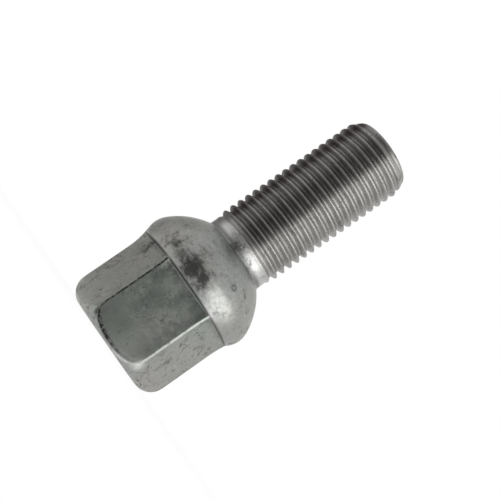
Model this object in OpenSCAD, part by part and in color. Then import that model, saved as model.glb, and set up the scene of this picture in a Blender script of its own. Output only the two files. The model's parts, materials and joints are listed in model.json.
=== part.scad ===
// Wheel bolt: a cold-forged steel screw with a hexagon, a ball seat and a plain shank for its thread.
// It stands on the end of its head, with +Z along the shank. Sizes are in millimetres.

/* [Hexagon] */
// Width across the flats of the hexagon
hex_af = 19; // [15:0.5:20]
// How far each corner of the hexagon is rounded back from its sharp point
corner_cut = 0.14; // [0.05:0.01:0.6]
// Length of the flats, from the end of the head to the shoulder
hex_h = 15.1; // [12:0.1:20]
// Radius that rounds the end of the head
end_r = 3.1; // [1:0.05:3.5]

/* [Corner flares] */
// Radius of the hollow curve that sweeps each corner out into the collar
flare_r = 16; // [10:0.5:24]
// Width of the flare's ridge
flare_nose = 0.4; // [0.2:0.05:0.8]
// Angle between the two sides of a flare
flare_angle = 100; // [80:1:114]

/* [Collar and ball seat] */
// Radius of the ball seat
ball_r = 12.6; // [12:0.1:15.2]
// How far the widest part of the collar lies inside the ball's radius
collar_trim = 0.82; // [0.4:0.01:1.4]
// Radius that rounds the collar into the ball
rim_r = 4; // [3.2:0.1:5.5]
// Height of the collar's widest part above the shoulder
collar_h = 2.3; // [1.5:0.1:2.8]
// Radius of the fillet between the ball and the neck
neck_fillet = 0.6; // [0.2:0.05:1.5]

/* [Shank] */
// Length of the shank, from the ball seat to its point
shank_l = 30.5; // [18:0.5:60]
// Diameter of the plain neck
neck_d = 13; // [10:0.1:13.4]
// Length of the plain neck
neck_l = 2.4; // [1.5:0.1:8]
// Major diameter of the thread
thread_d = 13.87; // [13.6:0.01:17]
// Length of the thread's run-out, from the neck to full diameter
runout_l = 0.9; // [0.3:0.1:3]
// Length of the taper at the point
point_l = 2.2; // [1:0.1:4]
// How far the taper narrows the shank on each side
point_cut = 1.07; // [0.4:0.01:2]
// Radius that rounds the rim of the point
point_r = 0.85; // [0.2:0.05:1]

/* [Hidden] */
$fn = 96;

CORNERS = 6;
steel = [0.47, 0.48, 0.46];
// How far one round is let into the next, so that they cross instead of only touching
let_in = 0.01;
// Depth to which a flare is rooted in the head
flare_root = 2.5;

// Hexagon
corner_r = hex_af / 2 / cos(180 / CORNERS) - corner_cut;

// Collar: the centre of its rim, and the ball that the rim runs into at seat_z
rim_x = ball_r - collar_trim - rim_r;
rim_z = hex_h + collar_h;
ball_to_rim = ball_r - rim_r + let_in;
ball_z = rim_z - sqrt(pow(ball_to_rim, 2) - pow(rim_x, 2));
seat_z = ball_z + (rim_z - ball_z) * ball_r / ball_to_rim;

// Shank, measured from where ball and neck would meet without their fillet
neck_r = neck_d / 2;
thread_r = thread_d / 2;
neck_z = ball_z + sqrt(pow(ball_r, 2) - pow(neck_r, 2));
thread_z = neck_z + neck_l;
total_l = neck_z + shank_l;

// Fillet: its centre touches both ball and neck
fillet_x = neck_r + neck_fillet - let_in;
fillet_z = ball_z + sqrt(pow(ball_r + neck_fillet - let_in, 2) - pow(fillet_x, 2));

// Flare: a hollow arc from the hexagon's corner to the collar's rim
flare_x = corner_r - let_in + flare_r;
flare_reach = flare_r + rim_r - let_in;
flare_z = rim_z - sqrt(pow(flare_reach, 2) - pow(flare_x - rim_x, 2));
flare_turn = asin((rim_z - flare_z) / flare_reach);

// Section that fills a bar below its end at z = 0 and rounds the rim where that end meets its side.
// The side reaches the end at x = rim and leans in by the angle lean.
module rounded_end(rim, r, lean, reach) {
    x = rim - r * (1 / cos(lean) - tan(lean)) + let_in;
    translate([x, let_in - r]) {
        circle(r = r);
        polygon([
            [-x, r + let_in],
            [0, r + let_in],
            [0, 0],
            reach * [cos(lean), sin(lean)],
            [reach, -reach],
            [-x, -reach]
        ]);
    }
}

// Hexagonal bar whose corners and end are rounded by one turned form
module hexagon() {
    intersection() {
        cylinder(r = hex_af / 2 / cos(180 / CORNERS), h = hex_h, $fn = CORNERS);
        rotate_extrude() intersection() {
            square([corner_r, hex_h]);
            mirror([0, 1]) rounded_end(corner_r, end_r, 0, hex_h);
        }
    }
}

// Ridge on one corner, swept along its hollow arc until it is inside the collar's rim
module corner_flare() {
    root_w = flare_nose + 2 * flare_root * tan(flare_angle / 2);
    translate([flare_x, 0, flare_z])
        rotate([90, 0, 0])
            rotate([0, 0, 180 - flare_turn])
                rotate_extrude(angle = flare_turn)
                    polygon([
                        [flare_r, -flare_nose / 2],
                        [flare_r + flare_root, -root_w / 2],
                        [flare_r + flare_root, root_w / 2],
                        [flare_r, flare_nose / 2]
                    ]);
}

// Half section of the collar: a round rim above the flat shoulder
module collar_section() {
    intersection() {
        union() {
            translate([0, hex_h]) square([rim_x, seat_z - hex_h]);
            translate([rim_x, rim_z]) circle(r = rim_r);
        }
        translate([0, hex_h]) square(rim_x + 2 * rim_r);
    }
}

// Half section of the ball above the rim
module ball_section() {
    intersection() {
        translate([0, ball_z]) circle(r = ball_r);
        translate([0, seat_z]) square([ball_r, fillet_z - seat_z]);
    }
}

// Half section of the hollow fillet that leads from the ball to the neck, on their centres' line
module fillet_section() {
    difference() {
        polygon([[0, ball_z], [fillet_x, fillet_z], [0, fillet_z]]);
        translate([fillet_x, fillet_z]) circle(r = neck_fillet);
    }
}

// Half section of the neck, the thread's blank and the tapered point, rooted in the ball
module shank_section() {
    intersection() {
        polygon([
            [0, seat_z],
            [neck_r, seat_z],
            [neck_r, thread_z],
            [thread_r, thread_z + runout_l],
            [thread_r, total_l - point_l],
            [thread_r - point_cut, total_l],
            [0, total_l]
        ]);
        translate([0, total_l])
            rounded_end(thread_r - point_cut, point_r, atan(point_cut / point_l), total_l);
    }
}

module wheel_bolt() {
    color(steel) {
        hexagon();
        for (i = [0 : CORNERS - 1]) rotate([0, 0, i * 360 / CORNERS]) corner_flare();
        rotate_extrude() {
            collar_section();
            ball_section();
            fillet_section();
            shank_section();
        }
    }
}

wheel_bolt();
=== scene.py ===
# A wheel bolt of dull grey zinc-coated steel. It stands on the end of its head, with +Z along the shank.

import json
import math

import bmesh
import bpy
import numpy as np
from mathutils import Euler, Matrix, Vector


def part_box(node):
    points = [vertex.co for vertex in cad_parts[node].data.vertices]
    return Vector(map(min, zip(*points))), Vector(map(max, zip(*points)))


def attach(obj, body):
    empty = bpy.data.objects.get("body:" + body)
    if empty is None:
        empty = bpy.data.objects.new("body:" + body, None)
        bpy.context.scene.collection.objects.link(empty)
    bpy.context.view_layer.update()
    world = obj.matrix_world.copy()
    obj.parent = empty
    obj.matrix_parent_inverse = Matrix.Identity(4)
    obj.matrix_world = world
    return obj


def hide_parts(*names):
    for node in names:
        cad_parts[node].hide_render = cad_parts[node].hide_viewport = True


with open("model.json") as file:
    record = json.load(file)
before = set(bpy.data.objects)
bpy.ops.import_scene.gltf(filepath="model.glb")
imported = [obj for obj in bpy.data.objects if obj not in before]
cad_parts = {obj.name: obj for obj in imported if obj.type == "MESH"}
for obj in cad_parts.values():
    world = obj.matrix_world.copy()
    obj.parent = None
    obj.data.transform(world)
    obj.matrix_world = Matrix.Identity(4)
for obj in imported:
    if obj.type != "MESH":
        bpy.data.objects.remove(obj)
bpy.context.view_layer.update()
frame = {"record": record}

# The head is a hexagon whose corners and end are turned round, with a collar behind it. It is cold-forged
# from steel wire in one blow after another, so its corners sweep out into the collar as hollow flares.
# The dies sat a little off the axis, so the flares are largest on the -X side.
mm = 0.001
columns = 216
corners = 6
side_turn = 2 * math.pi / corners
mount = {m["name"]: m for m in frame["record"]["mounts"]}
bolt_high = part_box("wheel_bolt")[1]
half_flats = -mount["hex_flat"]["pos_m"][1]
corner_cut = 0.14 * mm
corner_r = half_flats / math.cos(math.pi / corners) - corner_cut
corner_ease = 0.1 * mm
end_r = 3.1 * mm
end_flat_r = corner_r - end_r
edge_r = 0.2 * mm
shoulder_z = 15.1 * mm
shoulder_ease = 0.06 * mm
collar_r = bolt_high.x
rim_r = 4 * mm
rim_x = collar_r - rim_r
rim_z = 17.4 * mm
flare_r = 16 * mm
flare_half_nose = 0.2 * mm
flare_slope = math.tan(math.radians(50))
flare_ease = 0.12 * mm
smallest_flare = 0.5
flare_x = corner_r + flare_r
flare_z = rim_z - math.sqrt((flare_r + rim_r) ** 2 - (flare_x - rim_x) ** 2)
flare_top = flare_z + flare_r * (rim_z - flare_z) / (flare_r + rim_r)
head_crowding = 0.75
wide_rows_share = 0.6


def eased_min(a, b, ease):
    """The smaller of a and b; where they differ by less than ease, a parabola rounds the change."""
    return np.minimum(a, b) - np.maximum(ease - np.abs(a - b), 0) ** 2 / (4 * ease)


def eased_max(a, b, ease):
    """The larger of a and b; where they differ by less than ease, a parabola rounds the change."""
    return np.maximum(a, b) + np.maximum(ease - np.abs(a - b), 0) ** 2 / (4 * ease)


def smooth_step(x):
    """0 below 0, 1 above 1, and 3x^2 - 2x^3 between."""
    x = np.clip(x, 0, 1)
    return x * x * (3 - 2 * x)


def steps(count):
    """count equal steps from 0 to 1 as a column, without the 0."""
    return np.linspace(0, 1, count + 1)[1:, None]


def column_angles(crowding):
    """Angle of each column about the axis: equal turns, less crowding * sin(6 * turn) / 6. A crowding above
    0 moves the columns closer together at the corners."""
    turn = np.arange(columns) * 2 * math.pi / columns
    return turn - crowding * np.sin(corners * turn) / corners


def angle_from_corner(angle):
    """How far an angle is from the nearest corner, on either side."""
    return np.abs(np.mod(angle + side_turn / 2, side_turn) - side_turn / 2)


def hexagon_radius(angle):
    """Half the width across flats, over the cosine of the angle from a flat's middle, and at most the
    corner radius."""
    from_middle = np.mod(angle, side_turn) - side_turn / 2
    return eased_min(half_flats / np.cos(from_middle), corner_r, corner_ease)


def flare_radius(angle, z):
    """Radius of a ridge whose nose follows a circle of flare_r out from the corner. Its size falls from
    full on the -X side to smallest_flare on the +X side. Across the bolt it is a wedge: half width = half
    nose + flare_slope * depth below the nose."""
    from_corner = angle_from_corner(angle)
    size = smallest_flare + (1 - smallest_flare) * (0.5 - 0.5 * np.cos(angle)) ** 3
    rise = np.clip(z, flare_z, flare_top) - flare_z
    nose = corner_r + size * (flare_r - np.sqrt(flare_r**2 - rise**2))
    across, down = np.sin(from_corner), np.cos(from_corner)
    wedge = (flare_half_nose + flare_slope * nose) / (across + flare_slope * down)
    return np.minimum(wedge, nose / down)


def hexagon_side(angle, z):
    """The hexagon or its flare, whichever is further out."""
    return eased_max(hexagon_radius(angle), flare_radius(angle, z), flare_ease)


def collar_side(angle, z):
    """The rim's circle below its widest part, or the flare, whichever is further out."""
    rim = rim_x + np.sqrt(rim_r**2 - (z - rim_z) ** 2)
    return eased_max(rim, flare_radius(angle, z), flare_ease)


def flat_start(side):
    """Where a side at that radius meets the end's rounding. The centre of the small arc over that edge lies
    on an arc of end_r - edge_r: turn = arc sine of (distance out / arc radius), and height = end_r - arc
    radius * cosine of the turn."""
    arc_r = end_r - edge_r
    rounding = np.arcsin(np.clip((side - edge_r - end_flat_r) / arc_r, 0, 1))
    return rounding, end_r - arc_r * np.cos(rounding)


def head_rows():
    """Rows of (angle, radius, height) from the middle of the head's end to the collar's widest part. In the
    plane of each column they follow the end, its rounding, a small arc over the edge between that and the
    flat, the flat with its flare, an S-shaped step out to the collar, and the lower half of the rim. They
    lie closer together where the flare sweeps out."""
    angle = column_angles(head_crowding)[None]
    side = hexagon_radius(angle)
    rounding, edge_z = flat_start(side)

    disc = steps(3) * end_flat_r + 0 * angle
    a = steps(6) * rounding
    b = rounding + steps(5) * (math.pi / 2 - rounding)
    step_low = shoulder_z - shoulder_ease
    step_high = shoulder_z + shoulder_ease
    wide_rows = steps(9) * wide_rows_share
    close_rows = wide_rows_share + steps(24) * (1 - wide_rows_share)
    side_z = edge_z + np.concatenate([wide_rows, close_rows]) * (step_low - edge_z)
    step_z = step_low + steps(10) * (step_high - step_low)
    collar_z = step_high + steps(9) * (rim_z - step_high)
    step_side = hexagon_side(angle, step_z)
    out = smooth_step(steps(10))
    parts = [
        (disc, 0 * disc),
        (end_flat_r + end_r * np.sin(a), end_r - end_r * np.cos(a)),
        (side - edge_r + edge_r * np.sin(b), edge_z - edge_r * np.cos(b)),
        (hexagon_side(angle, side_z), side_z),
        (step_side + out * (collar_side(angle, step_z) - step_side), step_z),
        (collar_side(angle, collar_z), collar_z),
    ]
    return [(angle + 0 * r, r, z + 0 * r) for r, z in parts]


# The ball seat centres the bolt in the wheel. Its rim runs smoothly out of the collar, and a small fillet
# runs from it into the plain neck, which is as thick as the wire that the thread is rolled in.
ball_z = mount["ball_seat"]["pos_m"][2]
ball_r = rim_r + math.hypot(rim_x, rim_z - ball_z)
neck_r = 6.5 * mm
neck_fillet = 0.6 * mm
seat_start = math.atan2(rim_z - ball_z, rim_x)
seat_end = math.acos((neck_r + neck_fillet) / (ball_r + neck_fillet))
fillet_z = ball_z + (ball_r + neck_fillet) * math.sin(seat_end)
thread_low = 25.6 * mm


def ball_rows():
    """Rows of (angle, radius, height) from the collar's widest part to the start of the thread: the upper
    half of the rim, the ball, the hollow fillet and the neck. The columns spread out evenly on the ball."""
    rim = steps(8) * seat_start
    ball = seat_start + steps(26) * (seat_end - seat_start)
    hollow = seat_end * (1 - steps(7))
    neck_z = fillet_z + steps(3) * (thread_low - fillet_z)
    spreading = head_crowding * (1 - steps(26))
    parts = [
        (head_crowding, rim_x + rim_r * np.cos(rim), rim_z + rim_r * np.sin(rim)),
        (spreading, ball_r * np.cos(ball), ball_z + ball_r * np.sin(ball)),
        (0, neck_r + neck_fillet * (1 - np.cos(hollow)), fillet_z - neck_fillet * np.sin(hollow)),
        (0, neck_r + 0 * neck_z, neck_z),
    ]
    zero = np.zeros((1, columns))
    return [(column_angles(crowding) + 0 * r, r + zero, z + zero) for crowding, r, z in parts]


# The thread is a right-hand M14 x 1.5, rolled into the neck's metal: its crests rise above the neck and
# its roots sink below it. It fades in over nearly two turns, and a taper cuts it down at the point.
pitch = 1.5 * mm
rows_per_pitch = 16
row_rise = pitch / rows_per_pitch
crest_r = mount["thread"]["dims"]["r_mm"] * mm
root_r = 6.115 * mm
crest_half = pitch / 16
flank = 1 / math.tan(math.radians(30))
crest_ease = 0.05 * mm
root_ease = 0.22 * mm
crest_phase = 28.27 * mm
full_thread_z = 28.2 * mm
bolt_z = bolt_high.z
taper_l = 2.2 * mm
taper_cut = 1.07 * mm
taper_lean = math.atan2(taper_cut, taper_l)
point_r = 0.85 * mm
point_x = crest_r - taper_cut - point_r * (1 / math.cos(taper_lean) - math.tan(taper_lean))
thread_high = bolt_z - point_r + point_r * math.sin(taper_lean)
merge_reach = 0.0005 * mm


def taper_radius(z):
    """A straight line from the crests' radius to taper_cut less at the bolt's end."""
    return crest_r - taper_cut / taper_l * (z - (bolt_z - taper_l))


def distance_from_crest(helix_z):
    """How far up or down the nearest crest is from the helix that crosses the +X side at helix_z."""
    return np.abs(np.mod(helix_z - crest_phase + pitch / 2, pitch) - pitch / 2)


def thread_share(z):
    """0 up to the thread's start, 1 from full_thread_z on, with an S-shaped change between."""
    return smooth_step((z - thread_low) / (full_thread_z - thread_low))


def thread_form(from_crest):
    """Radius of the full thread at a distance along Z from its nearest crest: a flat crest, a straight
    flank at 30 degrees and a round root."""
    flanks = crest_r - flank * (from_crest - crest_half)
    return eased_max(eased_min(flanks, crest_r, crest_ease), root_r, root_ease)


def thread_rows():
    """One strip of rows that climbs with the helix, so that crests and roots lie on rows: height = the
    row's start + pitch * angle / one turn, held between the thread's two ends. The radius leads from the
    neck to the full thread, and is nowhere more than the taper's."""
    start = np.arange(thread_low - pitch, thread_high + row_rise, row_rise)[:, None]
    angle = column_angles(0)[None]
    z = np.clip(start + pitch * angle / (2 * math.pi), thread_low, thread_high)
    r = neck_r + thread_share(z) * (thread_form(distance_from_crest(start)) - neck_r)
    return angle + 0 * r, np.minimum(r, taper_radius(z)), z


def point_rows():
    """Rows of (angle, radius, height) over the rounded rim of the point and across its flat end."""
    turn = taper_lean + steps(7) * (math.pi / 2 - taper_lean)
    r = np.concatenate([point_x + point_r * np.cos(turn), point_x * (1 - steps(4)[:3])])
    z = np.concatenate([bolt_z - point_r + point_r * np.sin(turn), bolt_z + 0 * steps(3)])
    zero = np.zeros((1, columns))
    return column_angles(0)[None] + 0 * r, r + zero, z + zero


def row_faces(rows, first, climb=0):
    """Quads between each row and the next. The last column joins the first, climb rows further up."""
    row = np.arange(rows - 1)[:, None]
    column = np.arange(columns)[None]
    onward = (column + 1) % columns
    lift = np.where(column == columns - 1, climb, 0)
    low = np.minimum(row + lift, rows - 1)
    high = np.minimum(row + 1 + lift, rows - 1)
    quad = [
        row * columns + column,
        low * columns + onward,
        high * columns + onward,
        (row + 1) * columns + column,
    ]
    return np.stack(quad, -1).reshape(-1, 4) + first


def fan_faces(ring, pole, outward):
    """Triangles from a ring of vertices to one pole."""
    here = ring + np.arange(columns)
    onward = ring + (np.arange(columns) + 1) % columns
    return np.stack([here, onward, np.full(columns, pole)][:: 1 if outward else -1], -1)


def forged_mesh():
    """All rows joined into one closed surface. The helical strip's ends lie on level rings, where its
    spare rows are merged."""
    angle, r, z = (np.concatenate(part) for part in zip(*head_rows(), *ball_rows()))
    strip = thread_rows()
    point = point_rows()
    below, rows, above = len(r), len(strip[1]), len(point[1])
    angle, r, z = (np.concatenate(part) for part in zip((angle, r, z), strip, point))
    grid = np.stack([r * np.cos(angle), r * np.sin(angle), z], -1).reshape(-1, 3)
    poles = np.array([[0, 0, 0], [0, 0, bolt_z]])
    quads = np.concatenate(
        [
            row_faces(below + 1, 0),
            row_faces(rows, below * columns, rows_per_pitch),
            row_faces(above + 1, (below + rows - 1) * columns),
        ]
    )
    low_fan = fan_faces(0, len(grid), False)
    high_fan = fan_faces(len(grid) - columns, len(grid) + 1, True)
    mesh = bpy.data.meshes.new("forged_bolt")
    faces = quads.tolist() + low_fan.tolist() + high_fan.tolist()
    mesh.from_pydata(np.concatenate([grid, poles]), [], faces)
    surface = bmesh.new()
    surface.from_mesh(mesh)
    bmesh.ops.remove_doubles(surface, verts=surface.verts, dist=merge_reach)
    surface.to_mesh(mesh)
    surface.free()
    mesh.polygons.foreach_set("use_smooth", np.ones(len(mesh.polygons), bool))
    mesh.update()
    return mesh


# The finish is a thin dull zinc coat over the bare steel, paler on the shank. It is cloudy and stained.
# Painted shade darkens edges and hollows, deepest on the -X side away from the key lamp, and lies over the
# thread in a dark brown on that side. Painted dark reflections lie on the head, seat and neck, and painted
# highlights on the head and seat.
# Painted shade along edges and in hollows is deepest toward this angle, on the -X side away from the key
# lamp
shade_angle = math.radians(-118)
edge_shade_w = 0.12 * mm
edge_shade_depth = 0.85
end_shade_w = 0.26 * mm
shoulder_shade_w = 0.1 * mm
shoulder_shade_depth = 0.9
fillet_shade_w = 0.35 * mm
fillet_shade_depth = 0.4
root_shade_w = 0.28 * mm
root_shade_depth = 0.3
# A darkening on every other flat, thickest at its end
flat_end_darkening_w = 7 * mm
flat_end_darkening_depth = 0.42
ring_place = np.array([4.1, -9.7, 20.6]) * mm
ring_r = 0.42 * mm
ring_w = 0.2 * mm
ring_depth = 0.75
crest_w = 0.17 * mm
# Painted highlights at the corners' ends, on the rounding beside every other flat and on the seat
corner_highlight_z = 2.1 * mm
corner_highlight_w = 0.85 * mm
end_highlight_w = 0.4 * mm
end_highlight_depth = 0.7
seat_highlight_place = np.array([4.8, -9.95, 15.1]) * mm
seat_highlight_w = np.array([2.2, 2.2, 1.1]) * mm
seat_highlight_depth = 0.85

# Each dark spot's place and width in millimetres, and its depth. The spots are painted dark reflections and
# painted shade.
painted_dark_spots = [
    ((-1.9, -11.5, 17), 2.2, 1),
    ((-0.3, -11.7, 17.2), 1.8, 0.9),
    ((-4.1, -11, 17), 1.6, 0.55),
    ((-6.7, -9.9, 17.2), 1.7, 0.65),
    ((-2.4, -10.9, 19.5), 1.3, 0.45),
    ((-8.9, -3.5, 13.9), 2, 0.5),
    ((-4.9, -9.5, 1.9), 0.8, 1),
    ((-4.6, -9.6, 14.1), 1.2, 0.45),
    ((-1, -6.5, 25.2), 1.3, 0.75),
]

# Sizes of the finish's patterns, and the depth of its bump
drift_size = 9 * mm
cloud_size = 3.2 * mm
grain_size = 0.5 * mm
chip_spacing = 1.1 * mm
chip_reach = 0.2
painted_dark_grain = 1.5 * mm
stain_size = 2.2 * mm
crack_size = 3.8 * mm
crack_width = 0.014
crack_group = 3 * mm
pit_spacing = 0.55 * mm
pit_reach = 0.3
pit_group = 2.6 * mm
bump_size = 1.6 * mm
bump_depth = 0.08 * mm

# Colours of the coat, the shank and what lies on them
end_grey = (0.3, 0.306, 0.297, 1)
flat_green_grey = (0.268, 0.296, 0.265, 1)
warm_grey = (0.33, 0.319, 0.304, 1)
cloud_grey = (0.2, 0.212, 0.195, 1)
grain_grey = (0.4, 0.42, 0.395, 1)
chip_bright = (0.6, 0.62, 0.59, 1)
# Pale colour of the painted highlights
highlight_pale = (0.78, 0.78, 0.76, 1)
neck_pale = (0.52, 0.52, 0.51, 1)
thread_pale = (0.525, 0.518, 0.5, 1)
crest_dull = (0.37, 0.362, 0.35, 1)
# Dark brown of the painted shade on the neck and thread, and the near black of soiling, painted shade and
# painted dark reflections elsewhere
shade_brown = (0.04, 0.028, 0.026, 1)
grime_and_shade_dark = (0.03, 0.031, 0.028, 1)


def bell(distance, width):
    """1 at no distance, falling as exp(-(distance / width)^2)."""
    return np.exp(-((distance / width) ** 2))


def spot(points, place, width):
    """A bell about one place. A width of three numbers is taken along X, Y and Z."""
    return bell(np.linalg.norm((points - place) / width, axis=1), 1)


def surface_fields(points):
    """Seven values from 0 to 1 at each vertex. edge: painted shade in a bell just inside the long edges of
    every other flat, and in a flat-topped one where the flat meets the end's rounding. hollow: painted
    shade in bells about the shoulder and the neck's fillet and in each thread groove's root, a ring on the
    seat, and a darkening on every other flat, thickest at its end. smudge: a bell about each dark spot,
    painted dark
    reflections and painted shade. rub: painted highlights in bells about the end of each corner, the
    rounding beside every other flat and a place on the seat. crest: a bell across each crest. thread and
    shank: 0 on the head, 1 on the thread, and shank 1 on the neck too."""
    x, y, z = points.T
    r = np.hypot(x, y)
    angle = np.arctan2(y, x)
    from_edge = r * np.sin(angle_from_corner(angle))
    flat_z = flat_start(hexagon_radius(angle))[1]
    on_flat = smooth_step((z - flat_z) / edge_shade_w + 1) * smooth_step((shoulder_z - z) / edge_shade_w)
    alternate = np.cos(corners / 2 * (angle + math.pi / 2))
    every_other = smooth_step(0.5 + 1.5 * alternate)
    uneven = (0.5 + 0.5 * np.cos(corners / 2 * (angle - shade_angle))) ** 2

    # Painted shade inside the long edges, deepest away from the key lamp, and along the end's edge
    long_edge = bell(from_edge * np.sign(alternate) - edge_shade_w, 1.6 * edge_shade_w) * on_flat * uneven
    end_edge = smooth_step(1.5 * bell(z - flat_z, end_shade_w)) * every_other
    # Painted shade in the shoulder's crease, deepest on the -X side, and in the neck's fillet and the
    # thread's roots
    below_collar = smooth_step((collar_r - hexagon_side(angle, shoulder_z)) / mm)
    shade_side_weight = (0.5 + 0.5 * np.cos(angle - shade_angle)) ** 2
    shoulder = bell(z - shoulder_z, shoulder_shade_w) * below_collar * shade_side_weight
    fillet = bell(np.hypot(r - neck_r, z - fillet_z), fillet_shade_w)
    ring = bell(np.linalg.norm(points - ring_place, axis=1) - ring_r, ring_w)
    from_crest = distance_from_crest(z - pitch * angle / (2 * math.pi))
    thread = thread_share(z)
    root = smooth_step((from_crest - pitch / 2 + root_shade_w) / root_shade_w) * thread
    # A darkening on every other flat, thickest at its end
    flat_end_darkening = bell(z - flat_z, flat_end_darkening_w) * on_flat * every_other * (0.7 + 0.7 * uneven)
    hollows = [
        shoulder * shoulder_shade_depth,
        fillet * fillet_shade_depth,
        ring * ring_depth,
        root * root_shade_depth,
        flat_end_darkening * flat_end_darkening_depth,
    ]

    # Painted highlights at the corners' ends, along the rounding beside every other flat and on the seat
    corner_highlight = bell(np.hypot(from_edge, z - corner_highlight_z), corner_highlight_w) * (1 - uneven)
    end_highlight = bell(z - flat_z + end_highlight_w, end_highlight_w) * every_other * (1 - uneven) ** 5
    seat_highlight = spot(points, seat_highlight_place, seat_highlight_w) * (z > shoulder_z)
    painted_highlights = [corner_highlight, end_highlight * end_highlight_depth, seat_highlight * seat_highlight_depth]
    # Dark spots: painted dark reflections and painted shade
    painted_darkening = [
        spot(points, np.array(place) * mm, width * mm) * depth
        for place, width, depth in painted_dark_spots
    ]
    return {
        "edge": np.maximum(long_edge * edge_shade_depth, end_edge),
        "hollow": np.maximum.reduce(hollows),
        "painted_dark_spot": np.maximum.reduce(painted_darkening),
        "painted_highlight": np.maximum.reduce(painted_highlights),
        "crest": bell(from_crest, crest_w) * thread,
        "thread": thread,
        "shank": smooth_step((z - fillet_z) / neck_fillet),
    }


def add_fields(mesh):
    """Stores each field as a float attribute of the vertices."""
    points = np.empty(len(mesh.vertices) * 3)
    mesh.vertices.foreach_get("co", points)
    for name, values in surface_fields(points.reshape(-1, 3)).items():
        mesh.attributes.new(name, "FLOAT", "POINT").data.foreach_set("value", values.astype(np.float32))


def add_node(tree, kind, inputs, **settings):
    """A new shader node. Each input is a plain value or the output of another node."""
    node = tree.nodes.new(kind)
    for name, value in settings.items():
        setattr(node, name, value)
    for name, value in inputs.items():
        if isinstance(value, bpy.types.NodeSocket):
            tree.links.new(value, node.inputs[name])
        else:
            node.inputs[name].default_value = value
    return node


def noise(tree, place, size, detail, roughness=0.5):
    """Cloudy noise from 0 to 1 whose largest spots are about size across."""
    inputs = {"Vector": place, "Scale": 1 / size, "Detail": detail, "Roughness": roughness}
    return add_node(tree, "ShaderNodeTexNoise", inputs).outputs["Fac"]


def graded(tree, value, start, end, low=0.0, high=1.0):
    """low where the value is start and high where it is end, with an S-shaped change between."""
    inputs = {"Value": value, "From Min": start, "From Max": end, "To Min": low, "To Max": high}
    return add_node(tree, "ShaderNodeMapRange", inputs, interpolation_type="SMOOTHSTEP").outputs["Result"]


def combined(tree, operation, first, second):
    """Two values in one of the Math node's operations."""
    return add_node(tree, "ShaderNodeMath", {0: first, 1: second}, operation=operation).outputs[0]


def times(tree, first, second):
    """The product of two values."""
    return combined(tree, "MULTIPLY", first, second)


def blended(tree, share, first, second):
    """The second colour over the first, by its share."""
    return add_node(tree, "ShaderNodeMix", {0: share, 6: first, 7: second}, data_type="RGBA").outputs[2]


def field(tree, name):
    """One of the mesh's float attributes."""
    return add_node(tree, "ShaderNodeAttribute", {}, attribute_name=name).outputs["Fac"]


def fine_lines(tree, place, size, width):
    """Thin winding lines: where a noise comes within width of its middle level."""
    above_middle = combined(tree, "SUBTRACT", noise(tree, place, size, 3), 0.5)
    return graded(tree, combined(tree, "ABSOLUTE", above_middle, 0), width, 0)


def dots(tree, place, spacing, reach):
    """Round dots in the cells of a Voronoi pattern, each out to reach of its cell's size."""
    cells = add_node(tree, "ShaderNodeTexVoronoi", {"Vector": place, "Scale": 1 / spacing})
    return graded(tree, cells.outputs["Distance"], reach, reach * 0.4)


def grime_and_shade(tree, place, grain, shade_side_share, on_hexagon):
    """How dark a point is made by soiling and painted shade: painted shade in broken lines along edges,
    deepest on the -X side, and in hollows, ragged painted dark reflections and shade, faint stains, winding
    cracks in the hexagon's coat, and clusters of small pits."""
    # Painted shade along edges, deepest on the -X side, and in hollows
    edges = times(tree, shade_side_share, field(tree, "edge"))
    lines = times(tree, edges, graded(tree, grain, 0.36, 0.56, 0.5, 1.4))
    hollows = times(tree, field(tree, "hollow"), graded(tree, grain, 0.25, 0.55, 0.45, 1))
    # Ragged dark spots: painted dark reflections and painted shade
    ragged = times(tree, noise(tree, place, painted_dark_grain, 9, 0.8), 3)
    painted_darkening = graded(tree, combined(tree, "ADD", field(tree, "painted_dark_spot"), ragged), 1.55, 2.35, 0, 0.85)
    stains = graded(tree, noise(tree, place, stain_size, 9, 0.72), 0.53, 0.7, 0, 0.6)
    crack_places = graded(tree, noise(tree, place, crack_group, 2), 0.42, 0.56, 0, 0.7)
    cracks = times(tree, fine_lines(tree, place, crack_size, crack_width), crack_places)
    cracks = times(tree, cracks, on_hexagon)
    pit_places = graded(tree, noise(tree, place, pit_group, 3), 0.53, 0.66, 0, 0.8)
    pits = times(tree, dots(tree, place, pit_spacing, pit_reach), pit_places)
    total = lines
    for layer in (hollows, painted_darkening, stains, cracks, pits):
        total = combined(tree, "MAXIMUM", total, layer)
    return combined(tree, "MINIMUM", total, 1)


def coat_colour(tree, place, x_side, height, on_hexagon, clouds, grain):
    """The zinc coat: greenish on the hexagon above its end, drifting to a warmer grey in wide patches and
    at both sides, with darker clouds, a paler grain, small bright chips, and pale painted highlights."""
    left_side = graded(tree, x_side, -4.5 * mm, -8 * mm, 0, 0.4)
    right_side = graded(tree, x_side, 5 * mm, 8 * mm, 0, 0.25)
    warm_sides = combined(tree, "MAXIMUM", left_side, right_side)
    drift = graded(tree, combined(tree, "ADD", noise(tree, place, drift_size, 3), warm_sides), 0.45, 0.8)
    green_share = times(tree, on_hexagon, graded(tree, height, 0.6 * mm, 1.8 * mm))
    coat = blended(tree, green_share, end_grey, flat_green_grey)
    coat = blended(tree, drift, coat, warm_grey)
    coat = blended(tree, graded(tree, clouds, 0.64, 0.34, 0, 0.27), coat, cloud_grey)
    coat = blended(tree, graded(tree, grain, 0.35, 0.65, 0, 0.38), coat, grain_grey)
    chips = times(tree, dots(tree, place, chip_spacing, chip_reach), graded(tree, grain, 0.46, 0.6, 0, 0.5))
    coat = blended(tree, chips, coat, chip_bright)
    # Painted highlights in a pale colour
    highlight_share = times(tree, field(tree, "painted_highlight"), graded(tree, grain, 0.3, 0.6, 0.5, 1))
    return blended(tree, highlight_share, coat, highlight_pale)


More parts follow.
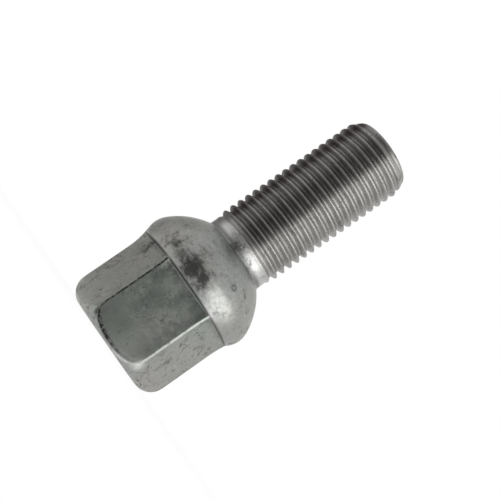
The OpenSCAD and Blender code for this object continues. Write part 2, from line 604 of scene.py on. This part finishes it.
def thread_shade_share(tree, x_side, y_side, crest):
    """How dark painted shade makes the thread: it grows from the +X side to the -X side, away from the key
    lamp, with a slightly paler strip between, and is less on the crests and at the back."""
    side_shade = graded(tree, x_side, 3 * mm, 0, 0, 0.72)
    side_shade = combined(tree, "SUBTRACT", side_shade, graded(tree, x_side, -1.5 * mm, -3.6 * mm, 0, 0.2))
    thread_shade = combined(tree, "MAXIMUM", side_shade, graded(tree, x_side, -3.8 * mm, -6 * mm, 0.3, 1))
    thread_shade = times(tree, thread_shade, graded(tree, crest, 0, 1, 1, 0.72))
    return times(tree, thread_shade, graded(tree, y_side, 2 * mm, -3 * mm, 0.5, 1))


def shank_colour(tree, coat, x_side, y_side, thread):
    """The coat's colour, made paler on the shank and palest on the thread, with duller crests, and with
    painted shade in a dark brown over the neck's -X side and the thread."""
    shank = field(tree, "shank")
    crest = field(tree, "crest")
    metal = blended(tree, times(tree, shank, 0.9), coat, neck_pale)
    # Painted shade over the neck's -X side
    neck_shade = times(tree, shank, graded(tree, x_side, -4.5 * mm, -6.1 * mm, 0, 0.65))
    metal = blended(tree, neck_shade, metal, shade_brown)
    metal = blended(tree, times(tree, thread, 0.85), metal, thread_pale)
    metal = blended(tree, times(tree, crest, 0.55), metal, crest_dull)
    return blended(tree, times(tree, thread_shade_share(tree, x_side, y_side, crest), thread), metal, shade_brown)


def surface_bump(tree, place, grain, dirt_and_shade, on_hexagon):
    """Slight unevenness that breaks up reflections: a noise plus a share of the grain, less a share of the
    soiling and painted shade. It is half as strong on the hexagon."""
    uneven = combined(tree, "ADD", noise(tree, place, bump_size, 5, 0.6), times(tree, dirt_and_shade, -0.25))
    uneven = combined(tree, "ADD", uneven, times(tree, grain, 0.3))
    strength = graded(tree, on_hexagon, 0, 1, 1, 0.5)
    inputs = {"Height": uneven, "Strength": strength, "Distance": bump_depth}
    return add_node(tree, "ShaderNodeBump", inputs).outputs["Normal"]


def zinc_steel():
    """Rough metal in the coat's and the shank's colours, with soiling and painted shade over it all. It is
    rougher between its dark clouds, under the soiling and painted shade, and on the thread."""
    material = bpy.data.materials.new("dull_zinc_steel")
    material.use_nodes = True
    tree = material.node_tree
    place = add_node(tree, "ShaderNodeTexCoord", {}).outputs["Object"]
    x_side, y_side, height = add_node(tree, "ShaderNodeSeparateXYZ", {0: place}).outputs
    on_hexagon = graded(tree, height, shoulder_z + 0.1 * mm, shoulder_z - 0.3 * mm)
    # Painted shade along edges grows toward the -X side, away from the key lamp
    shade_side_share = graded(tree, x_side, 6 * mm, -5 * mm, 0.35, 1)
    clouds = noise(tree, place, cloud_size, 7, 0.6)
    grain = noise(tree, place, grain_size, 4, 0.7)
    thread = field(tree, "thread")
    coat = coat_colour(tree, place, x_side, height, on_hexagon, clouds, grain)
    metal = shank_colour(tree, coat, x_side, y_side, thread)
    dirt_and_shade = grime_and_shade(tree, place, grain, shade_side_share, on_hexagon)
    roughness = combined(tree, "ADD", graded(tree, clouds, 0.3, 0.7, 0.33, 0.47), times(tree, dirt_and_shade, 0.2))
    roughness = combined(tree, "ADD", roughness, times(tree, thread, 0.08))
    shader = tree.nodes["Principled BSDF"]
    shader.inputs["Metallic"].default_value = 1
    # Soiling, painted shade and painted dark reflections over the metal
    tree.links.new(blended(tree, dirt_and_shade, metal, grime_and_shade_dark), shader.inputs["Base Color"])
    tree.links.new(roughness, shader.inputs["Roughness"])
    tree.links.new(surface_bump(tree, place, grain, dirt_and_shade, on_hexagon), shader.inputs["Normal"])
    return material


bolt = bpy.data.objects.new("forged_bolt", forged_mesh())
bpy.context.scene.collection.objects.link(bolt)
add_fields(bolt.data)
bolt.data.materials.append(zinc_steel())
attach(bolt, "root")
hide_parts("wheel_bolt")

# The floor is the top of a small round stand, covered in plain white paper. The paper is nearly even white
# to the camera, and keeps the bolt's soft shadow.
floor_r = 50 * mm
floor_sides = 96
paper_colour = (0.9, 0.9, 0.9, 1)
even_share = 0.92


def paper_white():
    """White paper: to the camera and in reflections it is mostly an even white, with the rest lit by the
    lamps."""
    material = bpy.data.materials.new("paper_white")
    material.use_nodes = True
    tree = material.node_tree
    paper = tree.nodes["Principled BSDF"]
    paper.inputs["Base Color"].default_value = paper_colour
    paper.inputs["Roughness"].default_value = 0.9
    paper.inputs["Specular IOR Level"].default_value = 0
    ray = add_node(tree, "ShaderNodeLightPath", {}).outputs
    seen = combined(tree, "MAXIMUM", ray["Is Camera Ray"], ray["Is Glossy Ray"])
    seen = combined(tree, "MAXIMUM", seen, ray["Is Transmission Ray"])
    even_white = add_node(tree, "ShaderNodeEmission", {}).outputs[0]
    inputs = {0: times(tree, seen, even_share), 1: paper.outputs[0], 2: even_white}
    mixed = add_node(tree, "ShaderNodeMixShader", inputs).outputs[0]
    tree.links.new(mixed, tree.nodes["Material Output"].inputs["Surface"])
    return material


floor_mesh = bpy.data.meshes.new("floor")
floor_turn = np.arange(floor_sides) * 2 * math.pi / floor_sides
floor_rim = np.stack([np.cos(floor_turn), np.sin(floor_turn), 0 * floor_turn], -1) * floor_r
floor_mesh.from_pydata(floor_rim, [], [tuple(range(floor_sides))])
floor = bpy.data.objects.new("floor", floor_mesh)
bpy.context.scene.collection.objects.link(floor)
floor.data.materials.append(paper_white())

# The studio is a pale room. A white backdrop stands behind the bolt, the room is dimmer about the camera
# and in the corner behind the bolt to the left, and one tall soft box stands to the camera's right.
room_level = 0.92
dim_tallness = 2

# Azimuth, elevation, inner and outer angle in degrees, and for a dim place how much darker it is
dim_places = [(-11, -9, 6, 48, 0.87), (-140, 0, 6, 46, 0.45)]
backdrop_place = (180, 8, 21, 33)


def toward(azimuth, elevation):
    """Unit vector of a direction. Azimuth 0 is the camera's side, -Y, and 90 is +X."""
    a = math.radians(azimuth)
    e = math.radians(elevation)
    return math.sin(a) * math.cos(e), -math.cos(a) * math.cos(e), math.sin(e)


def soft_oval(tree, azimuth, elevation, inner, outer, tallness=1):
    """1 within the inner angle of a direction and 0 beyond the outer one, with an S-shaped change between.
    Directions are first flattened along Z by tallness, which makes the oval that much taller than wide."""
    around = add_node(tree, "ShaderNodeTexCoord", {}).outputs["Generated"]
    squash = {0: around, 1: (1, 1, 1 / tallness)}
    flat = add_node(tree, "ShaderNodeVectorMath", squash, operation="MULTIPLY").outputs[0]
    unit = add_node(tree, "ShaderNodeVectorMath", {0: flat}, operation="NORMALIZE").outputs[0]
    pair = {0: unit, 1: toward(azimuth, elevation / tallness)}
    cosine = add_node(tree, "ShaderNodeVectorMath", pair, operation="DOT_PRODUCT").outputs["Value"]
    return graded(tree, cosine, math.cos(math.radians(outer)), math.cos(math.radians(inner)))


def studio_world():
    """The room's level less its dim places, or the white backdrop where that is brighter."""
    world = bpy.data.worlds.new("studio")
    world.use_nodes = True
    tree = world.node_tree
    sky = tree.nodes["Background"]
    sky.inputs["Color"].default_value = (1, 1, 1, 1)
    level = room_level
    for azimuth, elevation, inner, outer, depth in dim_places:
        oval = soft_oval(tree, azimuth, elevation, inner, outer, dim_tallness)
        level = combined(tree, "SUBTRACT", level, times(tree, oval, depth))
    level = combined(tree, "MAXIMUM", level, soft_oval(tree, *backdrop_place))
    tree.links.new(level, sky.inputs["Strength"])
    return world


def soft_box(name, azimuth, elevation, distance, width, height, power):
    """A rectangular lamp that faces the bolt's middle. Azimuth 0 is the camera's side, -Y, and 90 is +X."""
    lamp = bpy.data.lights.new(name, "AREA")
    lamp.shape = "RECTANGLE"
    lamp.size = width
    lamp.size_y = height
    lamp.energy = power
    box = bpy.data.objects.new(name, lamp)
    turn = Euler((math.pi / 2 - math.radians(elevation), 0, math.radians(azimuth)), "XYZ").to_matrix()
    middle = Matrix.Translation((0, 0, bolt_z / 2))
    box.matrix_world = middle @ turn.to_4x4() @ Matrix.Translation((0, 0, distance))
    bpy.context.scene.collection.objects.link(box)


bpy.context.scene.world = studio_world()
soft_box("key_soft_box", azimuth=48, elevation=-6, distance=0.6, width=0.6, height=1.2, power=4.9)

# The camera looks a little up along the bolt from just above the floor, and is rolled so that the shank
# points to the upper right of its square picture.
camera_place = (0.73 * mm, -170.2 * mm, 1.84 * mm)
camera_pitch = math.radians(8.55)
camera_roll = math.radians(55.19)
picture_px = 500
focal_px = 1060
sensor_mm = 36

lens = bpy.data.cameras.new("camera")
lens.sensor_width = sensor_mm
lens.lens = focal_px / picture_px * sensor_mm
lens.clip_start = 10 * mm
camera = bpy.data.objects.new("camera", lens)
aim = Euler((math.pi / 2 + camera_pitch, 0, 0)).to_matrix() @ Matrix.Rotation(camera_roll, 3, "Z")
camera.matrix_world = Matrix.Translation(camera_place) @ aim.to_4x4()
bpy.context.scene.collection.objects.link(camera)
bpy.context.scene.camera = camera
bpy.context.scene.view_settings.view_transform = "Standard"
